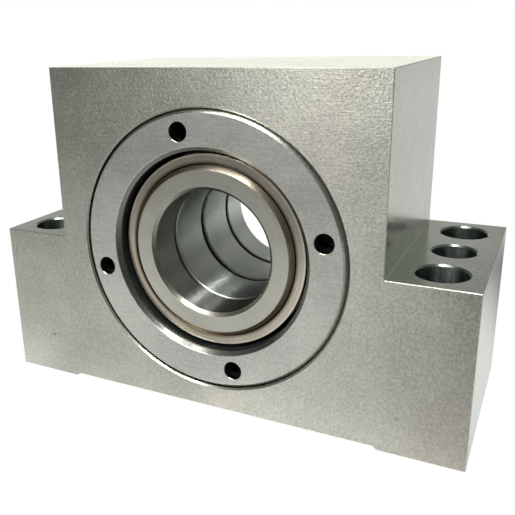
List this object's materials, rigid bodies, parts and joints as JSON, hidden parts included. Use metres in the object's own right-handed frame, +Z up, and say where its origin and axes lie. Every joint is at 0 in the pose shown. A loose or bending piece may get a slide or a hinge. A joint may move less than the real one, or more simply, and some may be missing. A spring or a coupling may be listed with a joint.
{
  "type": "ball screw support bearing",
  "caption": "Ground steel pillow block that carries the end of a ball screw in paired angular contact bearings, held by a screwed ring, with bolting shoulders.",
  "frame": {"origin": "on the plane of the feet, midway between the four foot bolt holes", "axes": "+X across the block, +Y along the shaft bore from the retaining ring face to the rear face, +Z up from the feet"},
  "size_m": [0.12, 0.0518, 0.082],
  "materials": {
    "ground_steel": "surface ground",
    "ring_steel": "fine turned",
    "collar_steel": "ground and polished",
    "seal_steel": "turned, warm oil film",
    "bearing_steel": "ground and polished",
    "ball_steel": "lapped",
    "cage_polymer": "moulded"
  },
  "bodies": {
    "block": {"housing": "ground_steel", "retaining_ring": "ring_steel", "front_bearing_outer_ring": "bearing_steel", "rear_bearing_outer_ring": "bearing_steel"},
    "inner_stack": {"front_collar": "collar_steel", "front_seal_ring": "seal_steel", "front_bearing_inner_ring": "bearing_steel", "rear_bearing_inner_ring": "bearing_steel", "rear_collar": "collar_steel", "rear_seal_ring": "seal_steel"},
    "front_ball_set": {"front_bearing_cage": "cage_polymer", "front_bearing_ball_01": "ball_steel", "front_bearing_ball_02": "ball_steel", "front_bearing_ball_03": "ball_steel", "front_bearing_ball_04": "ball_steel", "front_bearing_ball_05": "ball_steel", "front_bearing_ball_06": "ball_steel", "front_bearing_ball_07": "ball_steel", "front_bearing_ball_08": "ball_steel", "front_bearing_ball_09": "ball_steel", "front_bearing_ball_10": "ball_steel", "front_bearing_ball_11": "ball_steel", "front_bearing_ball_12": "ball_steel", "front_bearing_ball_13": "ball_steel", "front_bearing_ball_14": "ball_steel", "front_bearing_ball_15": "ball_steel", "front_bearing_ball_16": "ball_steel"},
    "rear_ball_set": {"rear_bearing_cage": "cage_polymer", "rear_bearing_ball_01": "ball_steel", "rear_bearing_ball_02": "ball_steel", "rear_bearing_ball_03": "ball_steel", "rear_bearing_ball_04": "ball_steel", "rear_bearing_ball_05": "ball_steel", "rear_bearing_ball_06": "ball_steel", "rear_bearing_ball_07": "ball_steel", "rear_bearing_ball_08": "ball_steel", "rear_bearing_ball_09": "ball_steel", "rear_bearing_ball_10": "ball_steel", "rear_bearing_ball_11": "ball_steel", "rear_bearing_ball_12": "ball_steel", "rear_bearing_ball_13": "ball_steel", "rear_bearing_ball_14": "ball_steel", "rear_bearing_ball_15": "ball_steel", "rear_bearing_ball_16": "ball_steel"}
  },
  "joints": [
    {"name": "inner_spin", "type": "hinge", "parent": "block", "child": "inner_stack", "pos_m": [0, 0, 0.04], "axis": [0, 1, 0], "continuous": true},
    {"name": "front_ball_orbit", "type": "hinge", "parent": "block", "child": "front_ball_set", "pos_m": [0, 0, 0.04], "axis": [0, 1, 0], "continuous": true},
    {"name": "rear_ball_orbit", "type": "hinge", "parent": "block", "child": "rear_ball_set", "pos_m": [0, 0, 0.04], "axis": [0, 1, 0], "continuous": true}
  ],
  "couplings": [
    {"joint": "front_ball_orbit", "follows": "inner_spin", "ratio": 0.46117},
    {"joint": "rear_ball_orbit", "follows": "inner_spin", "ratio": 0.46117}
  ]
}
